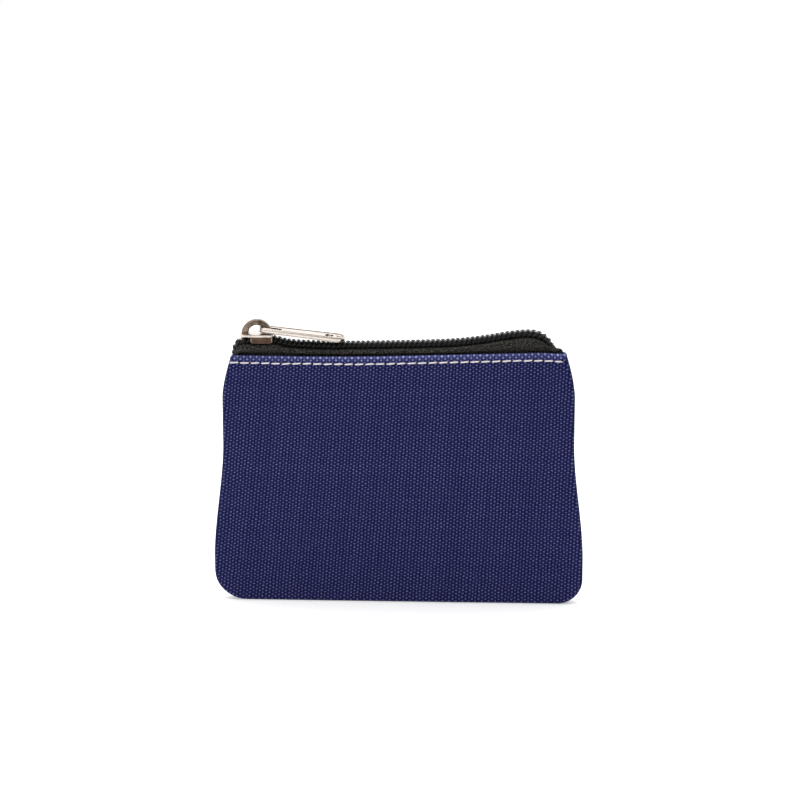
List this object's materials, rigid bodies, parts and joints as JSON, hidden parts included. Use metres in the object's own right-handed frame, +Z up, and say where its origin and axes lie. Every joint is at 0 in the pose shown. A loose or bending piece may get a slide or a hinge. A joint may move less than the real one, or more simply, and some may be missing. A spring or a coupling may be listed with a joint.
{
  "type": "zippered pouch",
  "caption": "Small flat canvas pouch that stands on its bottom seam, with a coil zipper along its mouth and a metal slider with a pull tab.",
  "frame": {"origin": "under the middle of the bottom seam, on the surface the pouch stands on", "axes": "+X to the right along the zipper when the front is seen, -Y out of the front panel, +Z up"},
  "size_m": [0.112, 0.0106, 0.0867],
  "materials": {
    "canvas": "heavy plain-weave cotton canvas, matte",
    "binding": "thin woven tape, matte",
    "thread": "natural sewing thread, matte",
    "tape": "herringbone woven polyester, matte",
    "coil": "nylon filament, satin",
    "black_thread": "polyester thread, matte",
    "nickel": "antique nickel plate on a zinc casting, polished high, darker in the recesses"
  },
  "bodies": {
    "seam": {"seam_binding": "binding", "seam_stitching": "thread", "left_end_tack": "black_thread", "right_end_tack": "black_thread"},
    "front_half": {"front_panel": "canvas", "front_topstitch": "thread", "front_tape": "tape", "front_coil": "coil", "front_coil_cord": "black_thread", "front_coil_stitching": "black_thread"},
    "back_half": {"back_panel": "canvas", "back_topstitch": "thread", "back_tape": "tape", "back_coil": "coil", "back_coil_cord": "black_thread", "back_coil_stitching": "black_thread"},
    "slider": {"slider_body": "nickel", "slider_crown": "nickel"},
    "pull": {"pull_tab": "nickel"}
  },
  "joints": [
    {"name": "slider_travel", "type": "slide", "parent": "seam", "child": "slider", "axis": [0.9996, 0, 0.0279], "range_m": [0, 0.077]},
    {"name": "tab_swing", "type": "hinge", "parent": "slider", "child": "pull", "pos_m": [-0.04105, 0, 0.08374], "axis": [0, -1, 0], "range_deg": [0, 185]},
    {"name": "front_open", "type": "hinge", "parent": "seam", "child": "front_half", "pos_m": [0, 0, 0.001], "axis": [1, 0, 0], "range_deg": [0, 8.5], "deforming": ["front_tape", "front_coil", "front_coil_cord", "front_coil_stitching", "seam_binding", "seam_stitching", "left_end_tack", "right_end_tack"]},
    {"name": "back_open", "type": "hinge", "parent": "seam", "child": "back_half", "pos_m": [0, 0, 0.001], "axis": [-1, 0, 0], "range_deg": [0, 8.5], "deforming": ["back_tape", "back_coil", "back_coil_cord", "back_coil_stitching"]}
  ],
  "couplings": [
    {"joint": "front_open", "follows": "slider_travel", "rad_per_m": 1.92},
    {"joint": "back_open", "follows": "slider_travel", "rad_per_m": 1.92}
  ]
}
